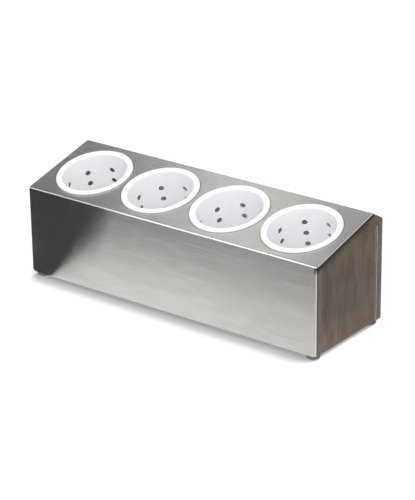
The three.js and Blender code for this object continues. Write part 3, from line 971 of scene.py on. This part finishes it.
def lip_painted_shadow_rule(place):
    """Painted contact shadow: 1 on a thin ring round each cylinder's axis, on the slope's face only.

    Folding x twice brings the four axes onto one. Reach is the square root of the sum of the
    squared distances along the holder and up the slope.
    """
    ring_radius = 0.0567
    x, y, z = parts_of(place)
    aside = abs(abs(x) - cup_pitch * MM) - cup_pitch * MM / 2
    up_slope = y * along_slope[0] + z * along_slope[1] - (slope_start @ along_slope + slope_centre) * MM
    depth = y * into_slope[0] + z * into_slope[1] - slope_start @ into_slope * MM
    reach = calc("SQRT", aside * aside + up_slope * up_slope, 0.0)
    return {"Line": ranged(depth, 0.0004, 0.0008, 1.0, 0.0)
            * ranged(abs(reach - ring_radius), 0.0004, 0.0011, 1.0, 0.0)}


def moulded_skin_rule(place, grain_size):
    """Pebbles of the grain size on a slow unevenness of flow: height is pebbles plus twice flow."""
    flow = noise(place, 18.0, 2.0, 0.5)
    return {"Height": noise(place, 1.0 / grain_size, 3.0, 0.55) + flow * 2.0, "Shade": flow}


brushing = effect("brushing", {"Flat place": None}, brushing_rule)
handling = effect("handling", {"Place": None, "Amount": 1.0}, handling_rule)
# a painted shadow ring under each cylinder's lip
lip_painted_shadow = effect("lip_painted_shadow", {"Place": None}, lip_painted_shadow_rule)
moulded_skin = effect("moulded_skin", {"Place": None, "Grain size": 0.001}, moulded_skin_rule)
print("effects:", [group.name for group in (brushing, handling, lip_painted_shadow, moulded_skin)])

# %% [markdown]
# ## Finishes
#
# Brushed steel reflects sharply along its lines and spreads light across them, so the highlight is
# stretched. Cycles does this with anisotropy, and the Tangent node reads the grain's direction from
# the flat blank's UV map. Panels were cut with their grain upright, so the same finish serves both.

# %% Brushed steel
# the dark brown of the painted shade in the joints
painted_shade_brown = (0.035, 0.032, 0.028)


def finish(name):
    """A material with its tree and its Principled shader."""
    material = bpy.data.materials.new(name)
    material.use_nodes = True
    return material, material.node_tree, material.node_tree.nodes["Principled BSDF"]


def object_place(tree):
    """Where a point lies on the object, in metres."""
    return wire(tree, "TexCoord", output="Object")


def mesh_value(tree, name):
    """A value that is kept on the mesh for each point."""
    return wire(tree, "Attribute", output="Fac", attribute_name=name)


def used(group, tree, **inputs):
    """The outputs of a node group, by name."""
    node = tree.nodes.new("ShaderNodeGroup")
    node.node_tree = group
    return {socket.name: Wire(socket) for socket in feed(node, **inputs).outputs}


def brushed_steel(name, dark, light, stain, roughness):
    """Sheet steel brushed along its U direction, with stains drawn out along the grain, painted shade
    in the joints and a painted shadow ring round each lip.
    """
    material, tree, shader = finish(name)
    place = object_place(tree)
    grain = used(brushing, tree, Flat_place=wire(tree, "UVMap", uv_map="developed"))
    lines = grain["Lines"]
    smudges = used(handling, tree, Place=place, Amount=0.4)["Smudges"]
    tone = lines * 0.6 + (grain["Bands"] * 0.15 + grain["Clouds"] * 0.25)
    steel = tinted(ranged(tone, 0.40, 0.60), dark, light)
    steel = tinted(grain["Stains"], steel, stain)
    # painted shade: dark brown in the joints under the slope's ends and along the lowest edge
    steel = tinted(mesh_value(tree, "painted_joint_shade") * 0.9, steel, painted_shade_brown)
    ring = used(lip_painted_shadow, tree, Place=place)["Line"]
    haze = smudges * 0.05 + ranged(lines, 0.42, 0.62, 0.0, 0.02)
    # painted shadow: a thin dark ring where each cylinder's lip rests on the slope
    feed(shader, Base_Color=tinted(ring * 0.38, steel, (0.08, 0.078, 0.075)), Metallic=1.0 - haze,
         Roughness=ranged(lines, 0.3, 0.7, roughness - 0.03, roughness + 0.03) + smudges * 0.08,
         Anisotropic=1.0, Anisotropic_Rotation=0.25,
         Tangent=wire(tree, "Tangent", direction_type="UV_MAP", uv_map="developed"),
         Normal=bumped(lines * 0.05 + grain["Clouds"], 0.045, 0.0006))
    return material


sheet_finish = brushed_steel("sheet_brushed_along", (0.625, 0.62, 0.61), (0.765, 0.76, 0.75),
                             (0.675, 0.668, 0.655), 0.21)
panel_finish = brushed_steel("sheet_brushed_upright", (0.66, 0.635, 0.60), (0.80, 0.77, 0.73),
                             (0.60, 0.56, 0.505), 0.23)
cut_finish, tree, shader = finish("sheet_cut_edge")
sheared = noise(wire(tree, "UVMap", uv_map="developed"), (900.0, 900.0, 1.0), 2.0, 0.6)
edge = tinted(sheared, (0.66, 0.66, 0.65), (0.82, 0.82, 0.81))
# painted shade: the cut edges darken in the joints under the slope's ends
feed(shader, Base_Color=tinted(mesh_value(tree, "painted_joint_shade"), edge, painted_shade_brown),
     Roughness=ranged(sheared, 0.2, 0.8, 0.30, 0.45), Metallic=0.35,
     Normal=bumped(sheared, 0.3, 0.0001))
print("steel finishes made")

# %% Plastic, rubber and fasteners
def moulded(name, shadow, colour, roughness, grain_size, depth):
    """A moulded piece: two near shades, an even gloss that wanders a little, and a fine skin."""
    material, tree, shader = finish(name)
    place = object_place(tree)
    skin = used(moulded_skin, tree, Place=place, Grain_size=grain_size)
    smudges = used(handling, tree, Place=place, Amount=0.35)["Smudges"]
    gloss = ranged(skin["Shade"], 0.3, 0.7, roughness - 0.03, roughness + 0.03)
    feed(shader, Base_Color=tinted(ranged(skin["Shade"], 0.3, 0.7), shadow, colour),
         Roughness=gloss + smudges * 0.12, Normal=bumped(skin["Height"], 0.3, depth))
    return material, tree, shader


white_finish, tree, shader = moulded("white_plastic_moulded", (0.940, 0.940, 0.956),
                                     (0.955, 0.955, 0.970), 0.32, 0.0016, 0.00004)
# painted glow: the outer skin under the slope emits a faint grey light, which lights the shell's inside
feed(shader, Emission_Strength=1.0, Emission_Color=tinted(
    mesh_value(tree, "painted_glow"), (0.0, 0.0, 0.0), (0.10, 0.10, 0.104)))
rubber_finish = moulded("foot_rubber_moulded", (0.11, 0.11, 0.111), (0.16, 0.157, 0.153),
                        0.62, 0.0006, 0.00006)[0]

fastener_finish, tree, shader = finish("fastener_steel_rolled")
place = object_place(tree)
turned_lines = noise(place, (400.0, 400.0, 5000.0), 2.0, 0.6)
smudges = used(handling, tree, Place=place, Amount=1.0)["Smudges"]
metal = tinted(ranged(turned_lines, 0.35, 0.65), (0.42, 0.42, 0.41), (0.58, 0.57, 0.56))
feed(shader, Base_Color=metal, Metallic=1.0,
     Roughness=ranged(turned_lines, 0.3, 0.7, 0.25, 0.36) + smudges * 0.1,
     Normal=bumped(turned_lines, 0.2, 0.00004))
print("moulded and fastener finishes made")

# %% [markdown]
# ## Putting the pieces in place
#
# Each finished surface takes its CAD node's place and rides on the same body, so the cylinders lift
# out in the poses while sheet, feet and fasteners stay.

# %% Body, panels and cylinders
placed("sheet_body", body_mesh, "holder", "body_shell", "brushed_steel", sheet_finish, cut_finish)
for side, name in ((-1, "left"), (1, "right")):
    panel_mesh = sheet_wall("end_panel", lambda depth: panel_patches(depth, side))
    # painted shade in the panel's joints, kept on its points
    placed(f"end_panel_{name}", marked(panel_mesh, "painted_joint_shade", joint_painted_shade), "holder",
           f"{name}_end_panel", "brushed_steel", panel_finish, cut_finish)

cylinder_turns, first_rows = np.radians([12.6, 41.6, 17.9, 33.7]), [28, 28, 28, 24]
for number, (centre_x, turn, first_row) in enumerate(zip(cup_centres, cylinder_turns, first_rows), 1):
    placed(f"white_cylinder_{number}", cylinder_mesh(centre_x, turn, first_row), f"cylinder_{number}",
           f"cutlery_cylinder_{number}", "white_plastic", white_finish)

# %% Feet and fasteners
surfaces = {"foot": ring_patch(foot_profile, once_round(64)),
            "foot_washer": ring_patch(washer_profile, once_round(64)),
            "foot_screw": screw_surface(), "foot_nut": nut_surface()}
for corner, x, y in (("front_left", -foot_x, -foot_y), ("front_right", foot_x, -foot_y),
                     ("back_left", -foot_x, foot_y), ("back_right", foot_x, foot_y)):
    for kind, surface in surfaces.items():
        look = ("foot_rubber", rubber_finish) if kind == "foot" else ("fastener_steel", fastener_finish)
        placed(f"{kind}_{corner}_turned", turned_solid(kind, surface + [x, y, 0]), "holder",
               f"{kind}_{corner}", *look)

# %% [markdown]
# ## Studio
#
# The floor is pale and keeps the shadow. The photograph's background is pure white, so the world
# shows white to the camera. Steel shows what it mirrors, so for its rays the floor is painted: a
# pale sheet near the holder that falls off towards the viewer, darker and brown beside the right
# end, with a black flag at the left. The room that the slope and the bends mirror is grey with soft
# bright and dark patches.

# %% A floor and what steel sees of it
line = np.linspace(-6000.0, 6000.0, 25)
floor_points = grid_of(line, line[:, None], 0.0).reshape(-1, 3)
floor = in_scene("studio_floor", mesh_of("studio_floor", floor_points, [grid_quads(25, 25, 0)]))
floor_finish, tree, shader = finish("studio_floor_pale")
floor.data.materials.append(floor_finish)
tree.nodes.remove(shader)
x, y, _ = parts_of(object_place(tree))

# the sheet is pale on this side of two lines through the black flag's foot
near_to_far = ranged(y, -0.34, -0.14, 0.25, 0.88)
board_foot = x - (y + 0.078) * 0.178
past_board = x - (y + 0.238) * 0.771
lit = calc("MAXIMUM", ranged(board_foot, -0.224, -0.218), ranged(past_board, -0.2525, -0.2465))
far_left = ranged(past_board, 0.02, -0.25) * ranged(y, -0.21, -0.33)
lit = lit * (1.0 - far_left * 0.40) * ranged(x, 0.0, 0.13, 1.0, 0.91)
lit = calc("MAXIMUM", lit, ranged(y, -0.05, 0.05)) + 0.06
grey = coloured(near_to_far * lit, 1.0, 0.985, 0.965)

# beside the right end panel the room is brown, and nearly black round the corner's front
from_panel = calc("MAXIMUM", x - 0.249, 0.0001)
bearing = (y + 0.078) / from_panel
cloudy = noise(object_place(tree), (14.0, 5.0, 1.0), 3.0, 0.6, 0.4)
brown = tinted(ranged(cloudy, 0.35, 0.65), (0.185, 0.143, 0.118), (0.285, 0.228, 0.193))
cool = ranged(from_panel, 0.055, 0.075) * ranged(from_panel, 0.135, 0.105)
brown = tinted(cool * 0.9, brown, (0.165, 0.148, 0.157))
round_corner = ranged(bearing, 1.24, 1.02) * ranged(from_panel, 0.04, 0.09)
brown = tinted(round_corner, brown, (0.015, 0.014, 0.013))
past_panel = ranged(x, 0.2495, 0.2505)
bright_grey = tinted(past_panel * ranged(bearing, -0.30, -0.50), grey, (1.3, 1.3, 1.28))
mirrored = tinted(past_panel * ranged(bearing, -0.50, -0.30), bright_grey, brown)
print("painted floor ready")

# %% What the camera sees of the floor
def rays(tree):
    """1 for rays from the camera, and 1 for rays that come from steel without a diffuse bounce."""
    path = new_node(tree, "LightPath")
    camera, glossy, diffuse_depth = (
        Wire(path.outputs[name]) for name in ("Is Camera Ray", "Is Glossy Ray", "Diffuse Depth"))
    return camera, glossy - diffuse_depth


# white paper, darker where the holder hides the light from behind and the right
towards_light = wire(tree, "CombineXYZ", X=0.22, Y=0.62, Z=0.75)
nearness = wire(tree, "AmbientOcclusion", output="AO", samples=12, Distance=0.048,
                Normal=towards_light)
white_paper = ranged(nearness, 0.448, 0.605, 0.34, 1.0)
matt = wire(tree, "BsdfDiffuse", (0.95, 0.95, 0.95))
from_camera, from_steel = rays(tree)
lit_paper, glow = wire(tree, "Emission", white_paper, 1.05), wire(tree, "Emission", mirrored, 1.0)
paper = wire(tree, "MixShader", from_camera * 0.85, matt, lit_paper)
feed(tree.nodes["Material Output"],
     wire(tree, "MixShader", calc("MAXIMUM", from_steel, 0.0), paper, glow))
print("floor ready")

# %% A black flag
flag_corners = np.array([
    (-0.2349, -0.1564, 0.16), (-0.2495, -0.238, 0.17), (-0.2496, -0.2381, 0.33),
    (-0.45, -0.2381, 0.33), (-0.4501, -0.2381, 0.12), (-1.1, -0.2381, 0.10)]) / MM
board = in_scene("studio_flag", mesh_of(
    "studio_flag", np.vstack([flag_corners * [1, 1, 0], flag_corners]), [grid_quads(2, 6, 0)]))
flag_finish, _, shader = finish("studio_flag_black")
feed(shader, Base_Color=(0.035, 0.035, 0.035), Roughness=0.9)
board.data.materials.append(flag_finish)
board.visible_camera = board.visible_diffuse = board.visible_shadow = False
print("one black flag on the floor, seen only by the steel")

# %% World
world = bpy.data.worlds.new("studio_room")
bpy.context.scene.world = world
world.use_nodes = True
world.cycles.sampling_method = "NONE"
tree = world.node_tree
direction = wire(tree, "TexCoord", output="Generated")
sideways, _, upward = parts_of(direction)


def lobe(towards, start, full, amount):
    """A soft round patch of the room: how nearly the direction points towards a place."""
    nearly = wire(tree, "VectorMath", direction, Vector(towards).normalized(),
                  operation="DOT_PRODUCT", output="Value")
    return ranged(nearly, start, full, 0.0, amount)


# the slope mirrors a wall that is bright from its middle to near its right end; brushing along the
# sheet keeps a direction's sideways part, so the wall is painted by that part alone
wall = ranged(sideways, -0.622, -0.555, -0.225, 0.325) - ranged(sideways, -0.541, -0.515, 0.0, 0.43)
wall = wall + ranged(sideways, -0.635, -0.72, 0.0, 0.32)
room = 0.20 + lobe((-0.30, 0.56, 0.77), 0.75, 1.0, 0.30) \
    + wall * lobe((-0.56, 0.47, 0.68), 0.80, 0.92, 1.0) \
    + lobe((-0.58, -0.49, 0.65), 0.90, 0.99, 3.1) + lobe((0.50, 0.54, 0.68), 0.92, 0.99, 1.5)
sky = tinted(ranged(upward, 0.0, 0.45), (0.40, 0.40, 0.41), (0.92, 0.92, 0.928))
from_camera, from_steel = rays(tree)
soft_light = tinted(from_steel, sky, coloured(room, 1.0, 0.99, 0.975))
feed(tree.nodes["Background"], Color=tinted(from_camera, soft_light, (1.0, 1.0, 1.0)), Strength=1.0)
print("room ready")

# %% Lamps
def softbox(name, place, size, power):
    """A square area lamp that looks at the holder."""
    lamp = bpy.data.lights.new(name, "AREA")
    lamp.shape, lamp.size, lamp.energy = "SQUARE", size, power
    stand = in_scene(name, lamp)
    stand.location = place
    aim = Vector((0, 0, 0.1)) - Vector(place)
    stand.rotation_euler = aim.to_track_quat("-Z", "Y").to_euler()
    return stand


softbox("key_softbox", (0.3, -0.7, 2.1), 1.3, 4.0)
softbox("fill_softbox", (1.7, -2.45, 1.9), 1.4, 40.0).visible_glossy = False
print("a key softbox above the front, and a stronger fill beside the camera that steel doesn't mirror")
